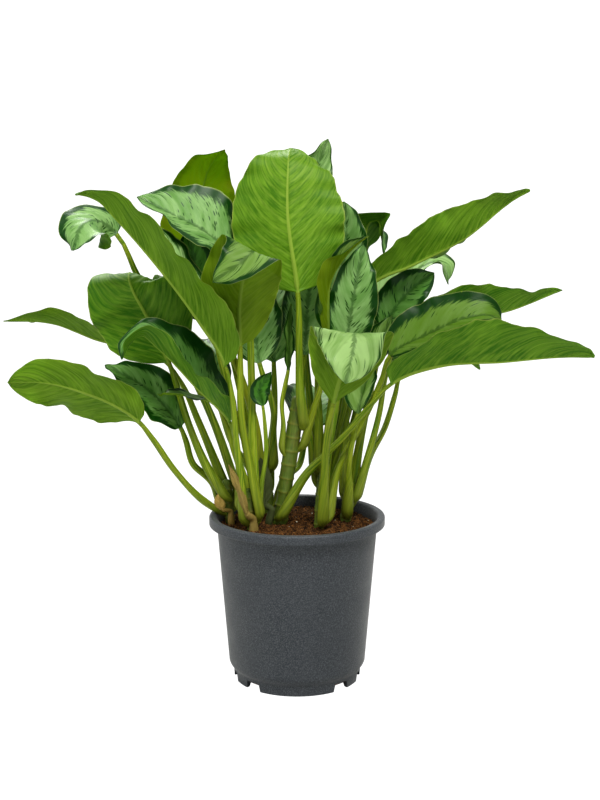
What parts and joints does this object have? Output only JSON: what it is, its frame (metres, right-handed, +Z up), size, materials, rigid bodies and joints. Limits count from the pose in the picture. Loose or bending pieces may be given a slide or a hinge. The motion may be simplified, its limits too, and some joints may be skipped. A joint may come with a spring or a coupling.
{
  "type": "potted aglaonema",
  "caption": "Bushy aglaonema houseplant with long-stalked, silver-patterned leaves, growing from canes in a plain round nursery pot.",
  "frame": {"origin": "on the pot's axis, at the flat pad in the middle of its underside, where it stands", "axes": "+Z up, -Y towards the plant's front, +X to the right as seen from the front"},
  "size_m": [0.766, 0.4615, 0.736],
  "materials": {
    "pot": "matte",
    "soil": "matte",
    "cane": "matte",
    "leaf": "satin",
    "sheath": "matte"
  },
  "bodies": {
    "root": {"pot": "pot", "soil": "soil", "cane_left": "cane", "cane_front_left": "cane", "cane_centre": "cane", "cane_front_right": "cane", "cane_right": "cane", "cane_back_left": "cane", "cane_back_right": "cane", "leaf_centre_tall": "leaf", "leaf_front_folded": "leaf", "leaf_front_cupped": "leaf", "leaf_left_long": "leaf", "leaf_left_low": "leaf", "leaf_left_low_inner": "leaf", "leaf_left_drooping": "leaf", "leaf_left_broad": "leaf", "leaf_left_narrow": "leaf", "leaf_left_arching": "leaf", "leaf_left_silver": "leaf", "leaf_left_inner": "leaf", "leaf_left_small": "leaf", "leaf_back_high_left": "leaf", "leaf_back_high_right": "leaf", "leaf_right_inner_high": "leaf", "leaf_right_inner_drooping": "leaf", "leaf_right_high": "leaf", "leaf_right_hooked": "leaf", "leaf_right_dark": "leaf", "leaf_centre_silver": "leaf", "leaf_centre_rolled": "leaf", "leaf_right_silver": "leaf", "leaf_right_long": "leaf", "leaf_right_low": "leaf", "leaf_right_slim": "leaf", "leaf_right_dark_inner": "leaf", "leaf_young_left": "leaf", "leaf_young_centre": "leaf", "leaf_inner_left": "leaf", "leaf_inner_centre": "leaf", "leaf_back_left": "leaf", "leaf_back_middle": "leaf", "leaf_back_right": "leaf", "leaf_back_tall": "leaf", "leaf_back_low": "leaf", "leaf_back_wide_left": "leaf", "leaf_back_wide_right": "leaf", "leaf_back_far_right": "leaf", "sheath_dry": "sheath", "sheath_stub": "sheath", "sheath_old": "sheath"}
  },
  "joints": []
}
